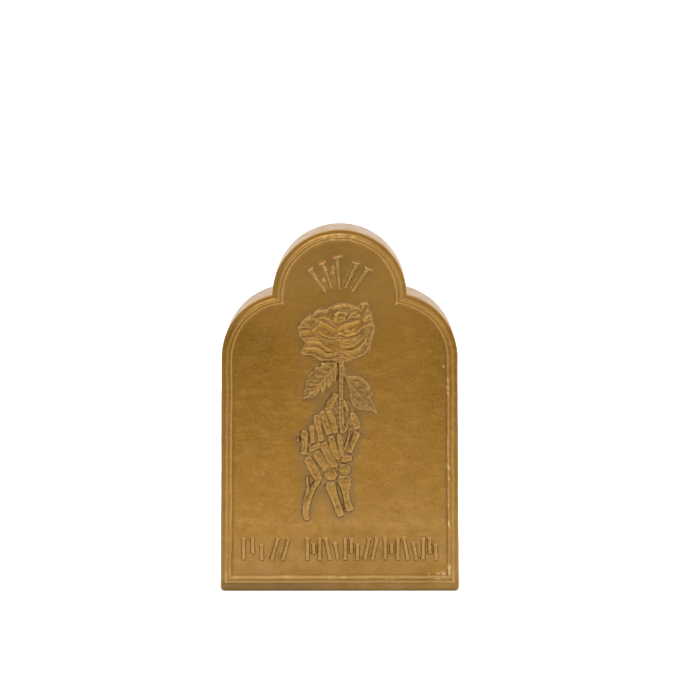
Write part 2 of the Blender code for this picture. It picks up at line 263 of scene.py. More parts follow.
def window(path, reach):
    """The part of the map within reach of a path."""
    low = path[:, :2].min(axis=0) - reach
    high = path[:, :2].max(axis=0) + reach
    left = int((low[0] - MAP_LEFT) / CELL)
    right = int((high[0] - MAP_LEFT) / CELL) + 2
    foot = int((low[1] - MAP_FOOT) / CELL)
    top = int((high[1] - MAP_FOOT) / CELL) + 2
    return (slice(max(foot, 0), top), slice(max(left, 0), right))


def nearest(path, x, z):
    """Distance to a path, its side (left is positive), the share of its length, and the
    shares at its points."""
    steps = np.hypot(*np.diff(path[:, :2], axis=0).T)
    reached = np.concatenate(([0], np.cumsum(steps)))
    best = np.full(x.shape, 1e9)
    side = np.zeros(x.shape)
    along = np.zeros(x.shape)
    for i, step in enumerate(steps):
        ax, az = path[i, :2]
        dx, dz = path[i + 1, :2] - path[i, :2]
        t = np.clip(((x - ax) * dx + (z - az) * dz) / (step * step + 1e-12), 0, 1)
        ex, ez = x - ax - t * dx, z - az - t * dz
        squared = ex * ex + ez * ez
        closer = squared < best
        best = np.where(closer, squared, best)
        side = np.where(closer, np.sign(dx * ez - dz * ex), side)
        along = np.where(closer, reached[i] + t * step, along)
    return np.sqrt(best), side, along / reached[-1], reached / reached[-1]


def inside(polygon, x, z):
    """Whether each place is inside a closed outline."""
    result = np.zeros(x.shape, dtype=bool)
    for (ax, az), (bx, bz) in zip(polygon, np.roll(polygon, -1, axis=0)):
        if az == bz:
            continue
        crosses = ((az > z) != (bz > z)) & (x < (bx - ax) * (z - az) / (bz - az) + ax)
        result ^= crosses
    return result


height = np.full(MAP_SHAPE, -FIELD_SINK)


def lay(area, distance, level, soft=0.1, groove=0, groove_width=0.3):
    """Puts a raised shape over what is there, with an engraved line close round it."""
    here = height[area]
    if groove:
        ring = bell(np.maximum(distance, 0), 0, groove_width)
        here = here - groove * ring
    cover = smoothstep(0.5 - distance / (2 * soft))
    height[area] = here + (level - here) * cover


BLUNT_END = 0.8
BLUNT_WIDTH = 1.14


def bone(points, rise=1.1, groove=0.09, flat=0.38, blunt=True):
    """A rounded bar along points that each give a place and a half width, in squares."""
    rows = [(*at(point), point[2] * SQUARE_ACROSS) for point in points]
    path = smooth_path(rows)
    area = window(path, path[:, 2].max() + 1.2)
    x, z = GX[area], GZ[area]
    away, _, along, stations = nearest(path, x, z)
    tips = ((path[0], path[1]), (path[-1], path[-2])) if blunt else ()
    for tip, neighbour in tips:
        dx, dz = (tip - neighbour)[:2] / np.hypot(*(tip - neighbour)[:2])
        beyond = (x - tip[0]) * dx + (z - tip[1]) * dz
        aside = (x - tip[0]) * dz - (z - tip[1]) * dx
        near_tip = (beyond > 0) & (np.hypot(x - tip[0], z - tip[1]) < away + 1e-6)
        squared = np.cbrt(np.abs(aside) ** 3 + np.maximum(beyond / BLUNT_END, 0) ** 3)
        away = np.where(near_tip, squared, away)
    radius = np.interp(along, stations, path[:, 2]) * (BLUNT_WIDTH if blunt else 1)
    share = np.clip(1 - away / radius, 0, 1)
    level = rise * (flat + (1 - flat) * np.sqrt(1 - (1 - share) ** 2.2)) - FIELD_SINK
    lay(area, away - radius, level, soft=0.15, groove=groove)


def sheet(points, level, swell, reach, groove=0.14, smooth=True, soft=0.1):
    """A flat raised shape inside an outline, which swells towards its middle."""
    corners = [at(point) for point in points]
    closed = corners + corners[:1]
    path = smooth_path(closed, 3) if smooth else np.array(closed)
    area = window(path, 1.2)
    x, z = GX[area], GZ[area]
    away, _, _, _ = nearest(path, x, z)
    distance = np.where(inside(path[:-1], x, z), -away, away)
    share = np.clip(-distance / reach, 0, 1)
    top = level + swell * (1 - (1 - share) ** 2) - FIELD_SINK
    lay(area, distance, top, soft, groove)


def ends(along, taper):
    """Fades a shape out towards both its ends."""
    return smoothstep(along / taper) * smoothstep((1 - along) / taper)


def ridge(points, rise, half_width=0.38, taper=0.12):
    """A fine raised line."""
    path = smooth_path([at(point) for point in points])
    area = window(path, 3 * half_width)
    away, _, along, _ = nearest(path, GX[area], GZ[area])
    height[area] += rise * ends(along, taper) * bell(away, 0, half_width)


def cut(points, depth, half_width=0.32, taper=0.18):
    """A fine engraved line."""
    ridge(points, -depth, half_width, taper)


def rim(points, side, rise, width, drop=0):
    """A petal's edge: it falls gently to one side and sharply, into a groove, to the other."""
    path = smooth_path([at(point) for point in points])
    area = window(path, width + 0.6)
    away, hand, along, _ = nearest(path, GX[area], GZ[area])
    across = away * hand * side
    fade = ends(along, 0.16)
    gentle = np.clip(1 - across / width, 0, 1) ** 1.6
    lip = bell(across, 0, 0.32)
    steep = bell(across, 0, 0.16)
    rise_map = np.where(across >= 0, 0.55 * gentle + 0.45 * lip, steep)
    fall = bell(across, -0.42, 0.26)
    height[area] += fade * (rise * rise_map - drop * fall)


# Frame moulding and margin

FRAME_WANDER = ((0.07, 9, 1), (0.03, 2.5, 1))
# Across the frame: shares of its width with shares of its rise, and then of the field's depth
MOULDING = (
    (0, 0), (0.1, 0.5), (0.24, 0.84), (0.36, 0.74), (0.5, 0.36), (0.62, 0.4), (0.76, 0.8),
    (0.84, 0.55),
)
FIELD_EDGE = ((1, 1.1), (1.12, 1.12), (1.5, 1))
FRAME_SECTION = (
    (-9, 0),
    *((FRAME_WIDTH * across, FRAME_RISE * up) for across, up in MOULDING),
    *((FRAME_WIDTH * across, -FIELD_SINK * down) for across, down in FIELD_EDGE),
    (99, -FIELD_SINK),
)

wander = grains(FRAME_WANDER)
into_frame = np.minimum(inset_of(GX, GZ) - FRAME_MARGIN, GZ - FRAME_FOOT_MARGIN)
section_x, section_y = np.array(FRAME_SECTION).T
height = blur(np.interp(into_frame + wander, section_x, section_y), 0.14)

# Nails: the two ends of each one's head, its waist and its point
NAILS = (
    (((308.2, 271.2), (313, 268.4)), (312, 272), (325.8, 291.6)),
    (((319.8, 265.2), (325.4, 262.6)), (324, 266.5), (332.2, 288)),
    (((333.6, 258.6), (341.4, 257)), (337.4, 260.5), (339.2, 288.4)),
    (((352.4, 263.2), (359.4, 264.2)), (355.8, 266), (344.8, 287.6)),
    (((364.4, 267.6), (371, 270.6)), (366.2, 270.6), (352.2, 290.8)),
)
for head, waist, point in NAILS:
    middle = ((waist[0] + point[0]) / 2, (waist[1] + point[1]) / 2)
    shank = ((*waist, 2), (*middle, 1.45), (*point, 0.9))
    bone(shank, rise=0.72, groove=0.14, flat=0.35)
    cut((waist, middle, point), 0.45, 0.19, 0.1)
    for side in (-1, 1):
        beside = ((waist[0] + 2.7 * side, waist[1] + 1), (point[0] + 1.9 * side, point[1]))
        cut(beside, 0.2, 0.24)
    bone(((*head[0], 1.2), (*head[1], 1.4)), rise=0.95, groove=0.05, flat=0.35)

# Small lumps between the nails: place and size
LUMPS = ((333.6, 268, 1.9), (333.2, 272.4, 1.6), (323.6, 280.2, 1.2))
for x, y, size in LUMPS:
    lump = ((x - 0.6, y, size), (x + 0.6, y, size))
    bone(lump, rise=0.28, groove=0, flat=0.2, blunt=False)

# Leaves
LEFT_LEAF = (
    (337.5, 362), (329, 361.6), (321, 362), (320, 366.2), (315.2, 366.8),
    (313, 371), (306.6, 374.8), (309.4, 379.2), (305.6, 381.2), (306, 385.4),
    (303.8, 389.2), (304.6, 393.2), (303.2, 398.2), (311, 397.6), (316.2, 395.6),
    (319.2, 391.8), (320.4, 389.6), (322.6, 393.2), (325, 389.8), (326.4, 385),
    (328.6, 387.4), (331.4, 384.4), (332.8, 380.6), (335.4, 382.6), (337.2, 376),
    (338.4, 369),
)
sheet(LEFT_LEAF, level=0.42, swell=0.3, reach=2.2, smooth=False)
RIGHT_LEAF = (
    (343.6, 373), (350.6, 375.2), (357.2, 374.8), (363, 377.2), (366.8, 380.4),
    (370.6, 386), (369.2, 390), (373.4, 393.4), (370.6, 396.2), (372.4, 400.8),
    (375.4, 406.4), (377, 413.2), (370.6, 410.2), (364, 409.6), (358.8, 409),
    (355, 407.4), (351.2, 402.4), (349.2, 396), (348.8, 388), (346.2, 380),
)
sheet(RIGHT_LEAF, level=0.38, swell=0.22, reach=2.2, smooth=False)

# Raised lines on the leaves: points, rise, half width
LEFT_MIDRIB = (
    (((337, 362.5), (331.4, 369.8), (324.4, 377.2), (318.2, 384.6), (312, 391.6),
      (304.4, 397.6)), 0.36, 0.34),
)
LEFT_VEINS = (
    ((333, 367.6), (323.8, 363.6)), ((329.2, 371.6), (317.6, 368.4)),
    ((325.2, 375.8), (312.2, 373.4)), ((321.4, 380.2), (309.4, 378)),
    ((318.2, 384.2), (307.6, 382.8)), ((314.8, 388.2), (305.6, 388)),
    ((311.2, 392), (305, 392.6)), ((334.6, 367), (335.6, 378)),
    ((331.2, 370.6), (332.4, 380.8)), ((327.8, 374), (329.4, 384.6)),
    ((324.4, 377.6), (325.6, 387.4)), ((321.2, 381.2), (322.4, 391.4)),
    ((317.8, 385.2), (318.4, 391.2)), ((314.2, 389.4), (314, 394.2)),
)
LEAF_FOLDS = (
    (((325, 362.6), (321.4, 366.8), (316, 368), (312.4, 371.6), (308.2, 375.2)), 0.22, 0.32),
    (((306.6, 381.4), (305.2, 389.2), (304.4, 396)), 0.18, 0.3),
    (((304.6, 397.2), (311.2, 396.6), (316.4, 394.4), (318.6, 391)), 0.24, 0.3),
    (((344, 374.6), (347, 376.8), (351.6, 376.6), (357.6, 376.4), (362.6, 378.6),
      (366.4, 382), (369.4, 386)), 0.3, 0.5),
    (((350, 380.2), (354.2, 381), (359, 382.6)), 0.2, 0.3),
    (((346.4, 378.4), (354, 387.4), (362.4, 397), (370, 406.2), (376, 412)), 0.18, 0.32),
)
RIGHT_VEINS = (
    ((351.4, 384.2), (361, 383.4)), ((355.6, 389.4), (367.4, 389)),
    ((360.2, 394.6), (371, 395)), ((365, 400), (372, 401.4)),
    ((351.8, 385.4), (350.6, 394)), ((356, 390), (353.6, 402.4)),
    ((361, 395.6), (359, 407)), ((366, 401.6), (365.2, 408.6)),
)
RIGHT_EDGE = (
    (((351.4, 403), (355.4, 406.8), (362.4, 408.2), (369.6, 409), (375.6, 411.8)), 0.14, 0.3),
)
LEAF_LINES = (
    *LEFT_MIDRIB,
    *((vein, 0.21, 0.26) for vein in LEFT_VEINS),
    *LEAF_FOLDS,
    *((vein, 0.1, 0.28) for vein in RIGHT_VEINS),
    *RIGHT_EDGE,
)
for points, rise, half_width in LEAF_LINES:
    ridge(points, rise, half_width)

RIGHT_STALK = ((343.4, 361, 1), (343.8, 368, 1.1), (345.6, 376.4, 1.3))
bone(RIGHT_STALK, rise=0.75, groove=0.1)

# Rose
ROSE = (
    (298.2, 326), (300.4, 321.4), (304.4, 318.6), (308, 316.2), (311.6, 314.2),
    (315.6, 311), (322, 308.6), (330, 307.8), (333.6, 305.4), (340, 303.6),
    (350, 304), (357.6, 305.6), (361.2, 302.8), (368.4, 302.6), (368.8, 309.6),
    (371.6, 314.2), (372, 320), (374.6, 325.4), (374.8, 330.4), (372.4, 337),
    (370.6, 344), (368.2, 350.6), (362.4, 356.6), (354.6, 358.8), (348.6, 360.4),
    (343.6, 363.4), (337.4, 362), (330, 360.6), (321.4, 360.8), (312.4, 356),
    (303.6, 354.6), (300.8, 350.6), (302.6, 346.4), (304.4, 341.4), (300.2, 338.4),
    (298, 334.2), (298.4, 330),
)
sheet(ROSE, level=0.46, swell=0.5, reach=6, groove=0.03, soft=0.22)

# The petals' edges: points, the side that falls gently, rise, width, drop
RIM_SHARPNESS = 1.15
DROP_SHARPNESS = 1.2
CUT_SHARPNESS = 1.1
RIMS = (
    (((331, 309.4), (335, 306.6), (341, 305.2), (348, 305.4), (356, 307.2),
      (361, 309)), -1, 0.34, 1.7, 0),
    (((311.4, 320.4), (312.4, 315.6), (316.4, 312.4), (322.4, 310.2), (331, 309)), -1, 0.36, 2.6, 0),
    (((299.4, 328), (300, 323.8), (304, 320.4), (308.4, 318), (312, 315.6)), -1, 0.38, 1.9, 0),
    (((347.2, 320.4), (348.2, 316.2), (351.4, 313.2), (357.6, 310.8)), -1, 0.42, 1.6, 0.3),
    (((362.2, 320), (365.4, 316.6), (371, 314.6)), -1, 0.34, 1.4, 0.2),
    (((311.6, 329.6), (316, 326.4), (321, 321)), -1, 0.46, 2.2, 0.26),
    (((320.4, 321.2), (326, 322.8), (331, 325.8), (337, 330)), -1, 0.42, 2.5, 0.3),
    (((336.4, 329), (341, 325.8), (347, 323.2), (353, 321.4), (360, 320)), -1, 0.42, 2.2, 0.34),
    (((334, 335.8), (340, 334), (346, 335.8), (352, 335), (358, 332), (363, 327.2),
      (371.6, 323.6)), 1, 0.42, 1.8, 0.34),
    (((311.6, 330.2), (304, 330.2), (300.4, 331.8), (299.2, 334.8), (301.2, 338.2),
      (305, 340.4)), 1, 0.4, 2.2, 0.16),
    (((304.6, 342), (308, 341), (313, 340.8), (320, 341.8), (324, 344.8), (328, 348.2),
      (332.4, 350.6)), -1, 0.26, 1.2, 0.14),
    (((302, 349.6), (304.6, 347.4), (310, 346.8), (317, 347), (322, 349.4), (327, 352.6),
      (333.6, 353)), -1, 0.44, 2.4, 0.3),
    (((301.6, 351.6), (306, 353.4), (313, 354.4), (319, 357.2), (325, 359.4), (332, 359),
      (338, 357)), 1, 0.3, 1.6, 0),
    (((367, 335.2), (364.2, 340), (360.6, 344.6), (356.4, 348.2), (350, 350.4),
      (343, 350.6)), 1, 0.44, 1.9, 0.34),
    (((367.8, 346), (366, 351), (362, 354.8), (355.4, 357.4)), -1, 0.38, 1.6, 0),
)
for points, side, rise, width, drop in RIMS:
    rim(points, side, RIM_SHARPNESS * rise, width, DROP_SHARPNESS * drop)

# Fine raised lines on the petals: points, rise, half width
PETAL_LINES = (
    (((336, 320), (335.4, 316.4), (337.8, 313.4), (342, 312.2), (347, 313.8)), 0.4, 0.38),
    (((361.6, 308.6), (362.8, 304.4), (367.2, 303.8), (367.4, 308.2), (365.6, 312)), 0.36, 0.42),
    (((350.4, 317.8), (355, 316.2), (360.4, 314.4)), 0.22, 0.3),
    (((301.4, 338.2), (306.4, 337.2), (313.4, 336.6), (320, 338.8)), 0.16, 0.3),
    (((345.6, 351.4), (350, 354.4), (355.4, 357.6)), 0.3, 0.34),
    (((334.6, 359.6), (338.8, 356.8), (344, 356), (349, 358.6)), 0.26, 0.34),
    (((333, 354.4), (335.8, 350.8)), 0.3, 0.34),
    (((318.4, 326), (320.6, 331), (325.8, 335.8)), 0.13, 0.24),
    (((322.4, 325), (325.2, 330.6), (330.4, 335.2)), 0.13, 0.24),
    (((337, 340.6), (344, 341.6), (351, 341.4), (357.6, 338.4)), 0.14, 0.4),
    (((316, 316.8), (322.6, 316.6), (330, 318)), 0.12, 0.3),
    (((343.4, 329.6), (350, 330.2), (356.6, 327.4)), 0.16, 0.34),
    (((337, 334.6), (340, 333), (343.4, 333.2)), 0.26, 0.3),
    (((338.4, 341.4), (340.6, 344.6), (347, 345.8), (353, 344.2), (358, 340.2),
      (362, 335.4)), 0.22, 0.26),
    (((317, 328.4), (322, 333), (328, 336), (334, 337.2)), 0.2, 0.26),
    (((319.6, 341.2), (325, 346), (331, 349.4)), 0.2, 0.28),
    (((301.6, 323), (304.6, 322.4), (307.4, 325.6)), 0.24, 0.28),
    (((304, 319.6), (307.6, 317.6), (311, 319)), 0.24, 0.28),
    (((321, 310.6), (324.6, 309.8), (328, 311.4)), 0.24, 0.3),
    (((333, 307.4), (336.6, 305.4), (340.4, 304.6)), 0.26, 0.34),
    (((354, 306.8), (358.6, 308), (361.4, 311.4)), 0.22, 0.28),
    (((364, 320.6), (367.6, 316.4), (370.6, 314.6)), 0.2, 0.28),
    (((366.6, 326.6), (370.4, 324), (374, 323.6)), 0.18, 0.26),
    (((369, 337.6), (371.6, 332), (373.6, 328.4)), 0.14, 0.28),
    (((354.6, 358.2), (360.4, 355.6), (364.4, 352.4), (366.6, 347.6)), 0.2, 0.32),
)
for points, rise, half_width in PETAL_LINES:
    ridge(points, rise, half_width)

# Engraved lines between the petals: points, depth, half width
PETAL_CUTS = (
    (((312, 320), (322, 319.7), (331, 321), (337.4, 323.8)), 0.36, 0.34),
    (((337.4, 323.8), (343, 321.7), (350, 319.6), (357.6, 318.2)), 0.34, 0.3),
    (((315.4, 330), (320, 334.6), (326, 338), (333, 338.9), (341, 338.6), (348, 338.4), (355, 336.8),
      (360, 333), (365.4, 328.6)), 0.44, 0.34),
    (((298.6, 328.7), (304, 328.6), (311.6, 328.4)), 0.3, 0.26),
    (((338, 310.4), (344, 311.5), (350, 311.2), (356.6, 308.8)), 0.34, 0.3),
    (((338, 317), (341.6, 315.4), (346, 316.4)), 0.55, 0.7),
    (((346.4, 320.4), (346.4, 316)), 0.28, 0.26),
    (((335, 339.4), (334.8, 342), (336, 345.4)), 0.36, 0.34),
    (((339.4, 348), (346, 348.4), (352.6, 347.8), (357.6, 344), (361.8, 339.2)), 0.36, 0.3),
    (((309.4, 345.2), (314, 344.2), (319.4, 345)), 0.28, 0.26),
    (((322.6, 351), (328, 352.2), (333.4, 350.8)), 0.26, 0.28),
    (((334.6, 356), (339, 353.2), (343.4, 353.2), (346.4, 355.8)), 0.3, 0.3),
    (((318, 337.8), (322, 341.2), (327.4, 346.4)), 0.14, 0.26),
    (((343, 344.8), (350, 345), (355, 342.6)), 0.14, 0.26),
    (((306.6, 322), (309.6, 324.4)), 0.3, 0.4),
    (((338.6, 331), (344, 329), (350, 328.2)), 0.2, 0.26),
    (((350.4, 320), (356, 318.4), (361, 316.8)), 0.22, 0.24),
    (((336.6, 362.4), (342, 363), (347.4, 361.4)), 0.26, 0.26),
    (((368.8, 312), (368.4, 318), (371.4, 322)), 0.14, 0.26),
    (((316.6, 313.6), (322, 313), (328, 314.2)), 0.1, 0.26),
    (((302.4, 355.8), (309, 356.4), (315.4, 359), (321, 361.6)), 0.22, 0.34),
    (((327.6, 361.6), (333, 361), (338, 361.4)), 0.2, 0.3),
    (((313.4, 332.4), (318.4, 336.6), (324, 340.6), (330, 344.4)), 0.18, 0.24),
    (((337.6, 343), (343.4, 343.4), (350.6, 343.2), (356, 340.6), (360.4, 336.2)), 0.2, 0.24),
    (((345.2, 332.2), (351, 332.4), (356.4, 330.2)), 0.24, 0.24),
    (((320.4, 352.6), (326, 356.2), (332, 356.8)), 0.14, 0.26),
    (((306, 350.2), (312, 350.2), (318, 352)), 0.12, 0.24),
    (((358, 352.6), (361.6, 349), (364.2, 344)), 0.14, 0.26),
    (((370, 330), (367.6, 337), (366.4, 343)), 0.16, 0.26),
)
for points, depth, half_width in PETAL_CUTS:
    cut(points, CUT_SHARPNESS * depth, half_width)

# Hand and forearm: each bone's places and half widths
BONES = (
    ((335.4, 394.4, 2.8), (331.4, 401, 3.7), (328.4, 407.4, 3.4)),
    ((329.2, 411, 3.3), (332.8, 420, 3.1), (334.8, 430.4, 3.2)),
    ((322.2, 412.4, 3), (325.6, 422.6, 3.3), (328.6, 431.6, 3.3)),
    ((316.6, 416.8, 3.4), (318.6, 428, 3), (321, 438.6, 3.2)),
    ((311.2, 427.2, 2.9), (312, 434, 2.1), (312.4, 441, 2.4)),
    ((304.3, 433, 3.7), (304.5, 443, 2.9), (303.6, 451.8, 3.4)),
    ((297.6, 437, 1.2), (297.8, 441, 1.2)),
    ((310.8, 449.2, 2.4), (315, 446.9, 2.9), (319.4, 444.6, 2.2)),
    ((308.4, 460, 4.1), (313.2, 469.4, 4.4), (317.8, 478, 4)),
    ((317.2, 454.6, 4.4), (321.4, 461.2, 4.3), (325.6, 467.2, 4)),
    ((324, 445.2, 4), (328.6, 455.4, 3.8), (333.4, 464.8, 3.7)),
    ((331.6, 438.4, 3.6), (333.9, 448, 3.3), (338, 458, 2.5)),
    ((339, 436, 2.7), (340.4, 446, 2.4), (342.2, 455.4, 1.9)),
    ((344.6, 399.8, 1.3), (345.8, 404.4, 1.9), (347.8, 409.6, 1.7)),
    ((352.8, 414, 2.8), (355, 419.8, 3.7), (356.8, 426, 3.7)),
    ((356.6, 433.6, 3.4), (353, 442, 3.1), (349.2, 449.8, 3.4)),
    ((346.8, 424.4, 1.5), (346, 427.4, 1.7), (344.8, 431, 1.4)),
    ((349.4, 432.6, 1.2), (347.4, 440.6, 1.4), (344.8, 448.6, 1.3)),
    ((341.8, 460.6, 1.7), (346.2, 458.6, 3.3), (349.6, 457.8, 3)),
    ((306.8, 477.6, 1.4), (307.4, 486, 1.5), (306.4, 495, 1.8), (305, 502, 2.6)),
    (
        (317.6, 481.6, 2.8), (313, 488, 2.7), (310, 495, 2.9), (306.6, 503, 3.5),
        (305.2, 511, 3.4), (306.2, 519, 2.9),
    ),
    (
        (330.6, 486.6, 5.2), (332.8, 493.5, 4.4), (336, 502.5, 3.7), (338.8, 510.6, 4.1),
        (340, 514.6, 3.7),
    ),
    (
        (344.6, 481.2, 6.5), (345.4, 487.6, 4.6), (346, 494.8, 3.4), (347.2, 502, 3.3),
        (349, 508.8, 3.9),
    ),
)
HAND_BED = (
    (329, 399.6), (336, 393.6), (345.4, 398.6), (351.6, 409.4), (359.4, 418),
    (360.2, 430), (356.4, 441.4), (353, 452.4), (352, 463), (350.4, 473.4),
    (349.4, 480), (337, 481), (326, 482.6), (314, 480.4), (305.6, 466),
    (301.2, 454), (301.4, 434), (308.4, 428.6), (314.6, 417), (321.4, 410.2),
)
sheet(HAND_BED, level=0.22, swell=0.1, reach=4, groove=0, soft=0.45)
STEM = ((341.4, 360, 2.3), (341.2, 385, 2.3), (341.2, 410, 2.4), (342, 431, 2.2))
STEM_CUT = ((341.4, 363), (341.2, 385), (341.3, 410), (342, 430))
bone(STEM, rise=0.95, groove=0.22, flat=0.5)
cut(STEM_CUT, 0.26, 0.2, 0.05)
for points in BONES:
    bone(points)

# Fine ridges on the bed between the bones
BED_RIDGES = (
    ((336.6, 398), (338, 412), (338.8, 428)), ((346.6, 399.4), (350.4, 405.6), (353, 411)),
    ((343.8, 412), (344, 420), (346.6, 424)), ((348.8, 414), (350.4, 421), (351.4, 430)),
    ((345.6, 409), (347.4, 416), (348, 423)), ((343, 434), (343.2, 442), (344.4, 452)),
    ((336.6, 432.4), (337.6, 440), (339.6, 450)), ((323.2, 407.6), (327, 411), (330.2, 409.4)),
    ((313.6, 419), (314.6, 430), (316.2, 442)), ((306.8, 452.6), (310.4, 453.4), (315.6, 450.2)),
)
for points in BED_RIDGES:
    ridge(points, 0.26, 0.3)
LEFT_WRIST = ((330, 474.3, 6.6), (331, 474.6, 6.6))
RIGHT_WRIST = ((344.4, 469.2, 5.9), (345, 469.4, 5.9))
bone(LEFT_WRIST, rise=1.15, groove=0.26, flat=0.45, blunt=False)
bone(RIGHT_WRIST, rise=1.1, groove=0.26, flat=0.45, blunt=False)

# Hollows along the bones and at their joints: points, depth, half width
JOINT_CUTS = (
    (((327, 484.4), (331.6, 483), (336, 484.6)), 0.25, 0.3),
    (((304.4, 437), (304.4, 449)), 0.12, 0.3), (((309.6, 462.6), (315, 475)), 0.14, 0.34),
    (((318.4, 458.4), (323.6, 465)), 0.14, 0.3), (((326, 450), (331, 460.6)), 0.14, 0.3),
    (((319, 421), (320.4, 434)), 0.12, 0.26), (((324.4, 417), (327.4, 428)), 0.12, 0.26),
    (((331, 414.6), (333.6, 426)), 0.1, 0.26), (((355.8, 436.4), (351.6, 446)), 0.14, 0.28),
    (((332.4, 490), (335, 499), (338.6, 509)), 0.16, 0.5),
    (((345.4, 484), (346, 497), (348.6, 507)), 0.14, 0.34), (((305.4, 504), (305, 517)), 0.14, 0.3),
)
for points, depth, half_width in JOINT_CUTS:
    cut(points, depth, half_width)

# Engraved rings on the wrist's two round bones: centre, radius, depth
WRIST_RINGS = (((344.7, 469.3), 3.6, 0.16), ((330.4, 474.5), 4.6, 0.1))
for centre, reach, depth in WRIST_RINGS:
    turns = np.radians(np.arange(-30, 331, 30))
    ring = [(centre[0] + reach * math.cos(t), centre[1] + reach * math.sin(t)) for t in turns]
    cut(ring, depth, 0.24, 0.05)

# The figure's edges wander a little, as cast ones do, and the forearm's are the softest
EDGE_WANDER = 0.055
WANDER_LENGTH = 1.1
on_field = into_frame > FRAME_WIDTH + 1.5
shift_x = EDGE_WANDER * grain(WANDER_LENGTH) * on_field
shift_z = EDGE_WANDER * grain(WANDER_LENGTH) * on_field
height = sample(height, GX + shift_x, GZ + shift_z)
lowest_bones = falling(GZ, FOREARM_TOP, 8) * on_field
height += 0.8 * lowest_bones * (blur(height, 0.22) - height)

# Line of strokes
LINE_FOOT = 0.0865 * HEIGHT
LINE_HEIGHT = 0.066 * HEIGHT
LINE_GROUPS = (
    (-0.41 * FOOT_WIDTH, -0.202 * FOOT_WIDTH, (0, 2)),
    (-0.148 * FOOT_WIDTH, 0.408 * FOOT_WIDTH, (3, 1, 0, 2, 3, 1, 0)),
)
SIGN_SHARE = 0.8
STROKE_HALF_WIDTH = 1.02
STROKE_RISE = 0.75
SIGNS = (
    (((0.1, 0), (0.1, 1)), ((0.5, 0.28), (0.5, 1)), ((0.9, 0), (0.9, 0.72))),
    (((0.4, 0), (0.1, 1)), ((0.92, 0), (0.68, 0.8))),
    (((0.1, 0), (0.42, 1)), ((0.58, 0), (0.9, 1))),
    (((0.18, 0), (0.18, 1)), ((0.6, 0.26), (0.6, 0.74)), ((0.98, 0), (0.98, 1))),
)


def stroke(start, end):
    """A raised stroke with a flat top, sloping sides and square ends that flare a little."""
    start, end = np.array(start), np.array(end)
    length = np.hypot(*(end - start))
    path = np.vstack((start, end))
    area = window(path, 2.4)
    dx, dz = (end - start) / length
    rx, rz = GX[area] - start[0], GZ[area] - start[1]
    along = rx * dx + rz * dz
    across = np.abs(rz * dx - rx * dz)
    flare = np.clip(np.abs(along / length - 0.5) * 2, 0, 1) ** 5
    half = STROKE_HALF_WIDTH * (0.92 + 0.34 * flare)
    distance = np.maximum(across - half, np.abs(along - length / 2) - length / 2)
    slope = smoothstep(-distance / 0.5)
    level = STROKE_RISE * (0.3 + 0.7 * slope) - FIELD_SINK
    lay(area, distance, level, groove=0.04, groove_width=0.4)


for left, right, order in LINE_GROUPS:
    pitch = (right - left) / (len(order) - 1 + SIGN_SHARE)
    for place, kind in enumerate(order):
        for stroke_ends in SIGNS[kind]:
            jitter = rng.uniform(-0.16, 0.16, (2, 2))
            spots = [
                (
                    left + pitch * (place + SIGN_SHARE * across) + shift[0],
                    LINE_FOOT + LINE_HEIGHT * up + shift[1],
                )
                for (across, up), shift in zip(stroke_ends, jitter)
            ]
            stroke(*spots)

# Cast surface: long shallow marks on the field, as points and depth
FIELD_MARKS = (
    (((308, 507), (314, 508.6), (320, 511), (325, 514)), 0.035),
    (((275, 327), (279, 331), (283, 335)), 0.03), (((386, 420), (396, 424), (408, 426)), 0.025),
    (((262, 470), (272, 474), (280, 480)), 0.025), (((392, 350), (398, 362)), 0.02),
    (((250, 392), (256, 402), (259, 411)), 0.02),
)
for points, depth in FIELD_MARKS:
    cut(points, depth, 0.22)

FIGURE_GRAIN = ((0.04, 1.1, 1), (0.024, 0.55, 1))
FIELD_GRAIN = ((0.02, 16, 1), (0.01, 6, 1), (0.0045, 2.2, 0.6))
FINE_GRAIN = ((0.0022, 0.9, 0.5),)
above_field = blur(height, 0.5) + FIELD_SINK
figure_area = rising(above_field, 0.1, 0.3) * (into_frame > FRAME_WIDTH + 1)
height += figure_area * grains(FIGURE_GRAIN)
carved = blur(height, 0.12)
surface = carved + grains(FIELD_GRAIN) + grains(FINE_GRAIN)

STRIP_TOP = 3.4


def painted_foot_shade(x, z):
    """Painted shade on the plain strip along the foot: most at its left, with painted shadow lines
    along its top and at the very foot.
    """
    left = falling(x, 16, 44)
    strip = falling(z, STRIP_TOP, 0.5) * (0.06 + 0.4 * left)
    line = bell(z, 3.5, 0.3) * (0.28 + 0.72 * left)
    return np.clip(strip + line + falling(z, 1.25, 0.5), 0, 1)


def painted_edge_shade(x, z):
    """Painted grey shade on the strip along the foot and on the margins outside the frame, most at
    the left.
    """
    strip = falling(z, STRIP_TOP, 0.5) * (0.3 + 0.7 * falling(x, 22, 44))
    margin = falling(inset_of(x, z), 2, 0.8) * falling(z, 98, 30)
    return np.maximum(strip, margin * (0.45 + 0.4 * falling(x, 20, 40)))


# Shades from 0 to 1: painted shade in the hollows, painted highlights on the crests with real
# scuffs, rubbed metal with painted highlights on the nails, and a grey patina bloom
HOLLOW_DEPTH = 0.2
CREST_RISE = 0.13
PAINTED_SHADE_SHARE = 0.52
FRAME_CREST = 0.78 * FRAME_WIDTH
painted_shade = np.clip((blur(carved, 0.5) - carved) / HOLLOW_DEPTH, 0, 1)
highlight_and_wear = np.clip((carved - blur(carved, 0.45)) / CREST_RISE, 0, 1)

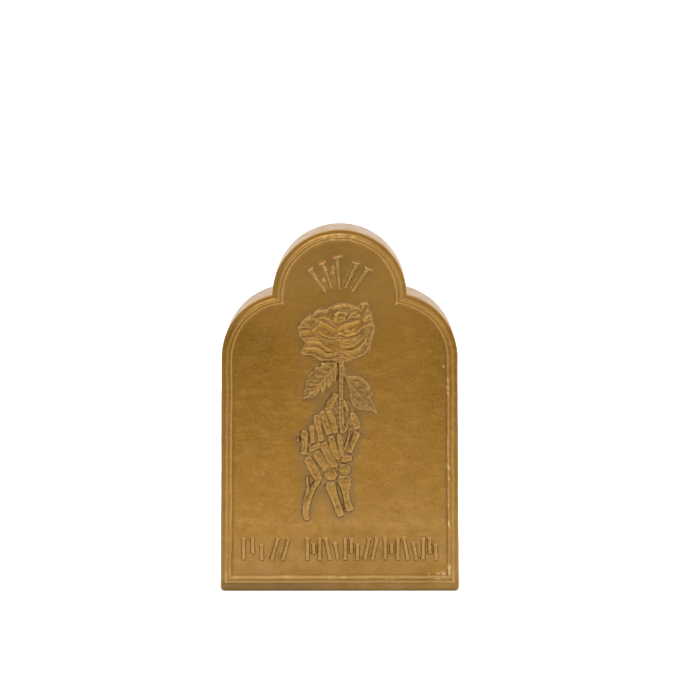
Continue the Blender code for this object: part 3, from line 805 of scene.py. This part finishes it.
# Where each shade is stronger or weaker
on_frame = bell(into_frame, FRAME_CREST, 0.75)
on_border = falling(into_frame, FRAME_WIDTH + 1, 0.8)
foot_ridge = falling(GZ, 9, 2)
low_right = rising(GX, 30, 14) * falling(GZ, 75, 45)
crown = rising(GZ, 140, 8) * falling(np.abs(GX - 4), 18, 8)
tops = rising(carved + FIELD_SINK, 0.8, 0.25)
low_figure = falling(GZ, HAND_TOP, 16)
above_line = rising(GZ, LINE_ZONE_TOP, 4)
below_nails = falling(GZ, NAILS_FOOT, 4) * above_line * (1 - on_border)
on_nails = rising(GZ, NAILS_FOOT, 2) * figure_area

halo = smoothstep(blur(figure_area, 2.2) / 0.5 + 0.14 * grain(3)) * (1 - tops)
halo *= above_line * (0.66 + 0.34 * low_figure)
# Grey patina bloom round the figures, with painted grey shade on the foot strip and the margins
patina_and_shade = np.maximum(halo, painted_edge_shade(GX, GZ))
# Painted shade in the hollows: weaker low on the figure, stronger on the border, then the foot's
# painted shadow
painted_shade *= (0.55 + 0.45 * above_line) * (1 - 0.42 * low_figure * (1 - on_border))
painted_shade *= 1 - 0.3 * lowest_bones * above_line
painted_shade *= 1 + (0.9 - 0.5 * rising(GZ, 95, 20)) * on_border
painted_shade = np.clip(PAINTED_SHADE_SHARE * painted_shade + painted_foot_shade(GX, GZ), 0, 1)
# Painted highlights on the crests, strongest on the foot ridge and weaker below the nails
highlight_and_wear *= 0.72 + 0.28 * above_line + 1.3 * on_border * foot_ridge
highlight_and_wear *= 1 - 0.14 * below_nails
# Rubbed metal in specks on the frame, and painted highlights in specks on the figure's crests, most
# on the nails
specks = rising(grain(1.1), 0.75, 0.6) * rising(grain(3.5), -0.1, 0.7)
rubbed = 0.95 * low_right + 0.75 * crown + foot_ridge * (0.3 + 0.45 * smoothstep(GX / 30))
wear_and_nail_highlight = specks * np.clip(on_frame * (rubbed + 0.12), 0, 1)
wear_and_nail_highlight = np.clip(wear_and_nail_highlight + (0.3 + 0.9 * on_nails) * specks * highlight_and_wear * figure_area, 0, 1)
blotches = 0.22 * grain(0.9)

# Rubbed spots on the frame: place and radius in millimetres
RUBBED_SPOTS = (
    (44.7, 89.6, 0.9), (44.7, 86.8, 0.8), (44.8, 84.4, 0.6), (42.8, 95.2, 0.6),
    (45.3, 52.6, 0.6), (45.4, 48, 0.7), (45.7, 10.4, 1.1), (45.8, 8, 0.8),
    (43.6, 7.4, 0.9), (41.2, 7.4, 0.7), (37.2, 7.4, 0.4), (0.2, 149.8, 0.9),
    (2, 149.7, 0.7), (5.6, 149.1, 0.7), (4, 148, 0.5), (-2.8, 149.5, 0.5),
    (-6, 148.9, 0.5), (9.2, 147.8, 0.4),
)
for x, z, reach in RUBBED_SPOTS:
    spot = smoothstep((1 - np.hypot(GX - x, GZ - z) / reach + blotches) / 0.5)
    wear_and_nail_highlight = np.maximum(wear_and_nail_highlight, 0.8 * spot)

# A pale scuffed band above the line of strokes, and fine scratches, closest in the scuffs
scuffed = 0.42 * bell(GZ, 29.5, 2.4) * on_field
scuffed *= np.clip(0.55 + 0.5 * grain(0.8) + 0.25 * grain(0.5), 0, 1) * (1 - figure_area)
highlight_and_wear = np.clip(highlight_and_wear + scuffed, 0, 1)
scratched = np.zeros(MAP_SHAPE)
SCUFFS = (
    ((264, 342), 2.2), ((266, 436), 2.6), ((258, 472), 3.2), ((262, 505), 3),
    ((270, 384), 1.4), ((434, 372), 1.2), ((246, 452), 1.8), ((300, 524), 2.6),
)
SCRATCHES = 46
SCUFF_SCRATCHES = 11
SCRATCH_DEPTH = 0.018
SCRATCH_WIDTH = 0.15
for number in range(SCRATCHES + SCUFF_SCRATCHES * len(SCUFFS)):
    x, z = rng.uniform((-44, 28), (44, 128))
    angle = rng.uniform(-0.9, 0.9) + (math.pi / 2 if rng.random() < 0.25 else 0)
    reach = rng.uniform(0.8, 3.6)
    if number >= SCRATCHES:
        place, spread_out = SCUFFS[number % len(SCUFFS)]
        x, z = at(place) + rng.normal(0, 0.5 * spread_out, 2)
        reach *= 0.3
    bow = rng.uniform(-0.3, 0.3)
    dx, dz = reach * math.cos(angle), reach * math.sin(angle)
    path = smooth_path(((x - dx, z - dz), (x - bow * dz, z + bow * dx), (x + dx, z + dz)))
    area = window(path, 0.6)
    away, _, along, _ = nearest(path, GX[area], GZ[area])
    line = ends(along, 0.4) * bell(away, 0, SCRATCH_WIDTH) * rng.uniform(0.3, 1)
    scratched[area] = np.maximum(scratched[area], line)
surface = surface - SCRATCH_DEPTH * scratched
highlight_and_wear = np.clip(highlight_and_wear + 0.8 * scratched, 0, 1)

# How sharply the face bends
bend = blur(np.abs(carved - blur(carved, 0.22)), 0.18)

# Mesh
vertices = []
faces = []
# The mesh's shades: painted shade, painted highlights with wear, wear with painted highlights, patina
# with painted shade
SHADES = ("painted_shade", "highlight_and_wear", "wear_and_nail_highlight", "patina_and_shade")
shade_values = {name: [] for name in SHADES}


def add_points(x, y, z, shades):
    """Adds vertices and gives their numbers."""
    first = len(vertices)
    vertices.extend(zip(x * MM, y * MM, z * MM))
    for name in SHADES:
        shade_values[name].extend(shades.get(name, np.zeros(len(x))))
    return np.arange(first, len(vertices))


def band(first, second):
    """Faces between two loops with as many points."""
    a, b = first, np.roll(first, -1)
    c, d = np.roll(second, -1), second
    faces.extend(map(tuple, np.column_stack((a, b, c, d)).tolist()))


def fill(loop_numbers, loop_points, inner_x, inner_z, make):
    """Triangles inside a loop, through the given inner points."""
    points = [Vector(point) for point in loop_points.tolist()]
    points += [Vector(point) for point in zip(inner_x.tolist(), inner_z.tolist())]
    count = len(loop_points)
    edges = [(i, (i + 1) % count) for i in range(count)]
    result = delaunay_2d_cdt(points, edges, [], 1, 1e-7, True)
    inner_numbers = make(inner_x, inner_z)
    numbers = np.concatenate((loop_numbers, inner_numbers))
    sources = np.array([source[0] for source in result[3]])
    triangles = sources[np.array(result[2])]
    places = np.vstack((loop_points, np.column_stack((inner_x, inner_z))))
    middles = places[triangles].mean(axis=1)
    triangles = triangles[inside(loop_points, *middles.T)]
    faces.extend(map(tuple, numbers[triangles].tolist()))


def side_noise(points, y):
    """Slow unevenness of the sides, in millimetres, that closes on itself."""
    x, z = points.T
    value = 0.03 * np.sin(0.21 * x + 0.13 * z + 0.31 * y)
    value += 0.022 * np.sin(-0.47 * x + 0.39 * z - 0.22 * y + 1.3)
    value += 0.014 * np.sin(0.83 * x + 0.71 * z + 0.93 * y + 2.1)
    value += 0.008 * np.sin(1.9 * x - 1.3 * z + 1.7 * y + 0.4)
    return value


def outward(points):
    """Unit vectors that point out of a loop."""
    ahead = np.roll(points, -1, axis=0) - np.roll(points, 1, axis=0)
    ahead /= np.hypot(*ahead.T)[:, None]
    return np.column_stack((ahead[:, 1], -ahead[:, 0]))


def add_object(name, data):
    """Puts a new object in the scene."""
    obj = bpy.data.objects.new(name, data)
    bpy.context.scene.collection.objects.link(obj)
    return obj


def set_inputs(node, values):
    """Sets a node's inputs by their names."""
    for name, value in values.items():
        node.inputs[name].default_value = value


def slab_loop(inset, y, uneven, crest_value):
    """One ring of vertices round the slab's sides."""
    points = outline(inset, inset, FOOT_CORNER_RADIUS)
    shift = (side_noise(points, y) - 0.05) * uneven
    at_foot = np.clip(points[:, 1] / 3, 0, 1)
    moved = points + outward(points) * (shift * at_foot)[:, None]
    x, z = moved.T
    plain = np.zeros(len(x))
    # The front rounding takes the foot's painted shade and the painted grey edge shade
    in_front = y < FACE_Y + EDGE_ROUNDING + 0.01
    shade = painted_foot_shade(x, z) if in_front else plain
    grey = painted_edge_shade(x, z) if in_front else plain
    shades = {"painted_shade": shade, "patina_and_shade": grey, "highlight_and_wear": plain + crest_value}
    return add_points(x, plain + y, z, shades)


quarter = np.radians(np.linspace(0, 90, ROUNDING_STEPS + 1))
loops = []
back_loop = outline(EDGE_ROUNDING, EDGE_ROUNDING, FOOT_CORNER_RADIUS)
for angle in quarter:
    inset = EDGE_ROUNDING * (1 - math.sin(angle))
    y = BACK_Y - EDGE_ROUNDING * (1 - math.cos(angle))
    loops.append(slab_loop(inset, y, math.sin(angle), 0.35 * math.sin(2 * angle)))
between = np.linspace(BACK_Y - EDGE_ROUNDING, FACE_Y + FRONT_ROUNDING, SIDE_LOOPS + 2)[1:-1]
for y in between:
    loops.append(slab_loop(0, y, 1, 0))
for angle in quarter[::-1]:
    inset = FRONT_ROUNDING * (1 - math.sin(angle))
    y = FACE_Y + FRONT_ROUNDING * (1 - math.cos(angle))
    loops.append(slab_loop(inset, y, math.sin(angle), 0.5 * math.sin(2 * angle)))


def face_points(x, z):
    """Vertices on the carved face, with its shades."""
    y = FACE_Y - sample(surface, x, z)
    maps = zip(SHADES, (painted_shade, highlight_and_wear, wear_and_nail_highlight, patina_and_shade))
    return add_points(x, y, z, {name: sample(values, x, z) for name, values in maps})


def face_loop(inset, foot_inset, corner):
    """One ring of vertices on the margin or the frame."""
    points = outline(inset, foot_inset, corner)
    x, z = points.T
    return face_points(x, z), points


for share in (0.2, 0.5, 0.8):
    inset = FRONT_ROUNDING + share * (FRAME_MARGIN - FRONT_ROUNDING)
    foot_inset = FRONT_ROUNDING + share * (FRAME_FOOT_MARGIN - FRONT_ROUNDING)
    corner = FOOT_CORNER_RADIUS + share * (FRAME_CORNER_RADIUS - FOOT_CORNER_RADIUS)
    loops.append(face_loop(inset, foot_inset, corner)[0])
for offset in np.linspace(0, INNER_EDGE, FRAME_LOOPS):
    margins = (FRAME_MARGIN + offset, FRAME_FOOT_MARGIN + offset)
    numbers, inner_loop = face_loop(*margins, FRAME_CORNER_RADIUS)
    loops.append(numbers)
for first, second in zip(loops, loops[1:]):
    band(first, second)


def back_points(x, z):
    """Vertices on the plain back, which is a little uneven."""
    y = BACK_Y + 0.02 * np.sin(0.2 * x + 0.1 * z) - 0.02
    return add_points(x, y, z, {})


def lattice(spacing):
    """Even points over the face, in rows that are shifted by turns, with their row and column."""
    rows = np.arange(int((HEIGHT + 2) / (spacing * 0.866)))
    columns = np.arange(int((FOOT_WIDTH + 4) / spacing))
    column, row = np.meshgrid(columns, rows)
    x = -FOOT_WIDTH / 2 - 2 + spacing * (column + 0.5 * (row % 2))
    z = spacing * 0.866 * row
    return x.ravel(), z.ravel(), row.ravel(), column.ravel()


x, z, row, column = lattice(SPACING)
room = np.minimum(inset_of(x, z) - FRAME_MARGIN, z - FRAME_FOOT_MARGIN) - INNER_EDGE
inner = room > 0.12
x, z, row, column, room = (values[inner] for values in (x, z, row, column, room))
need = sample(bend, x, z)
order = np.argsort(need)[::-1]
fine_limit = need[order[min(FINE_POINTS, len(order) - 1)]]
coarse_two = (row % 2 == 0) & (column % 2 == 0)
coarse_four = (row % 4 == 0) & (column % 4 == 0)
keep = (need >= fine_limit) | (coarse_two & (need >= 0.22 * fine_limit)) | coarse_four
keep &= (room > 0.5) | coarse_two | (need >= fine_limit)
fill(loops[-1], inner_loop, x[keep], z[keep], face_points)

x, z, _, _ = lattice(BACK_SPACING)
inner = (inset_of(x, z) > EDGE_ROUNDING + 1) & (z > EDGE_ROUNDING + 1)
x, z = x[inner], z[inner]
first_back_face = len(faces)
fill(loops[0], back_loop, x, z, back_points)
faces[first_back_face:] = [face[::-1] for face in faces[first_back_face:]]

mesh = bpy.data.meshes.new("plaque_relief")
mesh.from_pydata(vertices, [], faces)
mesh.update()
mesh.shade_smooth()
for name, values in shade_values.items():
    attribute = mesh.attributes.new(name, "FLOAT", "POINT")
    attribute.data.foreach_set("value", np.array(values, dtype=np.float32))
plaque = add_object("plaque_relief", mesh)
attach(plaque, "root")
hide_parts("plaque")

# Metal: linear colours
# The next six are painted light and shade for zones of the face
LOWER_RIGHT_LIT_BROWN = (0.252, 0.141, 0.044, 1)
UPPER_LEFT_SHADED_BROWN = (0.296, 0.137, 0.017, 1)
SHOULDER_SHADE_BROWN = (0.19, 0.082, 0.003, 1)
MIDDLE_SHADE_BROWN = (0.215, 0.1, 0.015, 1)
FOOT_LIGHT_TAN = (0.312, 0.182, 0.066, 1)
TOP_LIGHT_TAN = (0.398, 0.208, 0.054, 1)
CLOUD_BROWN = (0.205, 0.096, 0.01, 1)
MOTTLE_BROWN = (0.218, 0.104, 0.011, 1)
STREAK_GOLD = (0.39, 0.215, 0.05, 1)
FINE_GOLD = (0.4, 0.22, 0.048, 1)
# Patina with painted shade, painted shade, painted highlights with wear, wear with painted highlights
PATINA_AND_SHADE_GREY = (0.195, 0.125, 0.06, 1)
PAINTED_SHADE_BROWN = (0.13, 0.076, 0.028, 1)
HIGHLIGHT_AND_WEAR_GOLD = (0.54, 0.35, 0.14, 1)
WEAR_AND_NAIL_HIGHLIGHT_GOLD = (0.6, 0.42, 0.18, 1)

# How much of its colour each shade of the mesh brings
SHADE_COLORS = (
    ("patina_and_shade", 0.5, PATINA_AND_SHADE_GREY),
    ("painted_shade", 0.6, PAINTED_SHADE_BROWN),
    ("highlight_and_wear", 0.38, HIGHLIGHT_AND_WEAR_GOLD),
    ("wear_and_nail_highlight", 1, WEAR_AND_NAIL_HIGHLIGHT_GOLD),
)
METALNESS = 0.95
SMOOTHEST = 0.31
ROUGHEST = 0.4
BUMP_STRENGTH = 0.5
BUMP_HEIGHT = 0.00012


def soft_range(nodes, links, value, limits):
    """A smooth change of a value from one pair of limits to another."""
    node = nodes.new("ShaderNodeMapRange")
    node.interpolation_type = "SMOOTHSTEP"
    set_inputs(node, dict(zip(("From Min", "From Max", "To Min", "To Max"), limits)))
    links.new(value, node.inputs["Value"])
    return node.outputs["Result"]


def bronze_material():
    """Satin bronze, mottled, finely streaked, with painted shade in hollows and painted highlights on
    crests.
    """
    material = bpy.data.materials.new("satin_bronze")
    material.use_nodes = True
    tree = material.node_tree
    nodes, links = tree.nodes, tree.links
    shader = nodes["Principled BSDF"]

    def feed(sockets, values):
        for socket, value in zip(sockets, values):
            if isinstance(value, bpy.types.NodeSocket):
                links.new(value, socket)
            else:
                socket.default_value = value

    def noise(scale, detail, stretch=(1, 1, 1), roughness=0.5):
        mapping = nodes.new("ShaderNodeMapping")
        set_inputs(mapping, {"Scale": stretch})
        links.new(coordinates.outputs["Object"], mapping.inputs["Vector"])
        texture = nodes.new("ShaderNodeTexNoise")
        set_inputs(texture, {"Scale": scale, "Detail": detail, "Roughness": roughness})
        links.new(mapping.outputs["Vector"], texture.inputs["Vector"])
        return texture.outputs["Fac"]

    def mix(factor, first, second):
        node = nodes.new("ShaderNodeMix")
        node.data_type = "RGBA"
        node.clamp_factor = True
        feed((node.inputs[0], node.inputs[6], node.inputs[7]), (factor, first, second))
        return node.outputs[2]

    def spread(value, low, high, out_low=0, out_high=1):
        return soft_range(nodes, links, value, (low, high, out_low, out_high))

    def combine(operation, first, second):
        node = nodes.new("ShaderNodeMath")
        node.operation = operation
        feed(node.inputs, (first, second))
        return node.outputs[0]

    def add(first, second):
        return combine("ADD", first, second)

    def times(first, second):
        return combine("MULTIPLY", first, second)

    def attribute(name):
        node = nodes.new("ShaderNodeAttribute")
        node.attribute_name = name
        return node.outputs["Fac"]

    coordinates = nodes.new("ShaderNodeTexCoord")
    clouds = noise(38, 4)
    mottle = noise(170, 5, roughness=0.6)
    streaks = noise(420, 4, (0.4, 1, 1), 0.62)
    specks = noise(900, 2)
    fine = noise(2100, 2, roughness=0.7)

    parts = nodes.new("ShaderNodeSeparateXYZ")
    links.new(coordinates.outputs["Object"], parts.inputs["Vector"])
    across, up = parts.outputs["X"], parts.outputs["Z"]

    # Painted light and shade in zones of the face: more orange towards the top and the left,
    # painted shade on the shoulders and the middle, and painted light at the foot and the top
    slant = add(add(up, times(across, -0.4)), times(clouds, 0.09))
    color = mix(spread(slant, 0, 0.165), LOWER_RIGHT_LIT_BROWN, UPPER_LEFT_SHADED_BROWN)
    aside = add(across, -0.006)
    shoulders = times(spread(times(aside, aside), 0.0004, 0.0013, 0, 0.8), spread(up, 0.04, 0.085))
    shoulders = times(shoulders, spread(up, 0.104, 0.118, 1, 0))
    color = mix(shoulders, color, SHOULDER_SHADE_BROWN)
    middle = times(spread(up, 0.028, 0.05), spread(up, 0.09, 0.106, 0.45, 0))
    color = mix(middle, color, MIDDLE_SHADE_BROWN)
    color = mix(spread(up, 0.012, 0.03, 0.6, 0), color, FOOT_LIGHT_TAN)
    color = mix(spread(up, 0.106, 0.134, 0, 0.9), color, TOP_LIGHT_TAN)

    # Mottling, then the shades of the mesh: patina with painted shade, painted shade, painted
    # highlights with wear, and wear with painted highlights on the nails
    color = mix(spread(clouds, 0.55, 0.75, 0, 0.6), color, CLOUD_BROWN)
    color = mix(spread(mottle, 0.35, 0.75, 0, 0.6), color, MOTTLE_BROWN)
    color = mix(spread(streaks, 0.45, 0.72, 0, 0.34), color, STREAK_GOLD)
    color = mix(spread(fine, 0.38, 0.66, 0, 0.5), color, FINE_GOLD)
    for name, share, tone in SHADE_COLORS:
        color = mix(times(attribute(name), share), color, tone)
    links.new(color, shader.inputs["Base Color"])

    roughness = spread(mottle, 0.3, 0.7, SMOOTHEST, ROUGHEST)
    roughness = add(roughness, times(attribute("painted_shade"), 0.18))
    links.new(roughness, shader.inputs["Roughness"])
    set_inputs(shader, {"Metallic": METALNESS})

    bump = nodes.new("ShaderNodeBump")
    set_inputs(bump, {"Strength": BUMP_STRENGTH, "Distance": BUMP_HEIGHT})
    links.new(add(streaks, times(specks, 0.5)), bump.inputs["Height"])
    links.new(bump.outputs["Normal"], shader.inputs["Normal"])
    return material


mesh.materials.append(bronze_material())

# Studio
WHITE = (1, 1, 1, 1)
FLOOR_COLOR = (0.86, 0.86, 0.86, 1)
FLOOR_GLOW = 0.4
FLOOR_CORNERS = ((-3, -0.45, 0), (3, -0.45, 0), (3, 3, 0), (-3, 3, 0))


def add_floor():
    """A plain pale floor that glows a little, so that it stays as pale as in the photograph."""
    material = bpy.data.materials.new("pale_floor")
    material.use_nodes = True
    shader = material.node_tree.nodes["Principled BSDF"]
    set_inputs(shader, {"Base Color": FLOOR_COLOR, "Roughness": 0.9, "Specular IOR Level": 0})
    set_inputs(shader, {"Emission Color": WHITE, "Emission Strength": FLOOR_GLOW})
    data = bpy.data.meshes.new("floor")
    data.from_pydata(FLOOR_CORNERS, [], [(0, 1, 2, 3)])
    data.materials.append(material)
    obj = add_object("floor", data)


add_floor()

# The world's light: its axis, where along it the light changes, and how bright it is
LIGHT_AXIS = (0.6, 0.9, 0.5)
LIGHT_START = -1.25
LIGHT_END = 0.1
FRONT_LIGHT = 0.355
BACK_LIGHT = 1.3


def studio_world():
    """White light all round, brighter from above and behind than from in front.

    The camera itself sees one even white.
    """
    world = bpy.data.worlds.new("studio")
    world.use_nodes = True
    nodes, links = world.node_tree.nodes, world.node_tree.links
    coordinates = nodes.new("ShaderNodeTexCoord")
    axis = nodes.new("ShaderNodeVectorMath")
    axis.operation = "DOT_PRODUCT"
    axis.inputs[1].default_value = LIGHT_AXIS
    links.new(coordinates.outputs["Generated"], axis.inputs[0])
    limits = (LIGHT_START, LIGHT_END, FRONT_LIGHT, BACK_LIGHT)
    strength = soft_range(nodes, links, axis.outputs["Value"], limits)
    rays = nodes.new("ShaderNodeLightPath")
    seen = nodes.new("ShaderNodeMix")
    set_inputs(seen, {"B": BACK_LIGHT})
    links.new(rays.outputs["Is Camera Ray"], seen.inputs["Factor"])
    links.new(strength, seen.inputs["A"])
    background = nodes["Background"]
    set_inputs(background, {"Color": WHITE})
    links.new(seen.outputs["Result"], background.inputs["Strength"])
    return world


bpy.context.scene.world = studio_world()

KEY_PLACE = (-0.35, -0.65, 0.85)
KEY_TARGET = (0, 0, 0.08)
KEY_SIZE = 0.8
KEY_POWER = 3


def add_key_light():
    """One large soft light, above and to the left in front."""
    data = bpy.data.lights.new("key_light", "AREA")
    data.shape = "RECTANGLE"
    data.size = KEY_SIZE
    data.size_y = KEY_SIZE
    data.energy = KEY_POWER
    obj = add_object("key_light", data)
    obj.location = KEY_PLACE
    aim = Vector(KEY_TARGET) - Vector(KEY_PLACE)
    obj.rotation_euler = aim.to_track_quat("-Z", "Y").to_euler()


add_key_light()

# Camera, at the photograph's viewing angle
LENS = 108.685
CAMERA_PLACE = (0.002689, -0.871961, 0.239567)
pitch = math.radians(9.083)
turn = math.radians(-0.106)
camera_data = bpy.data.cameras.new("camera")
camera_data.lens = LENS
camera_data.sensor_width = 36
camera_data.clip_start = 0.01
camera = add_object("camera", camera_data)
rotation = Euler((math.pi / 2 - pitch, 0, turn)).to_matrix().to_4x4()
camera.matrix_world = Matrix.Translation(CAMERA_PLACE) @ rotation
bpy.context.scene.camera = camera
bpy.context.scene.view_settings.view_transform = "Standard"
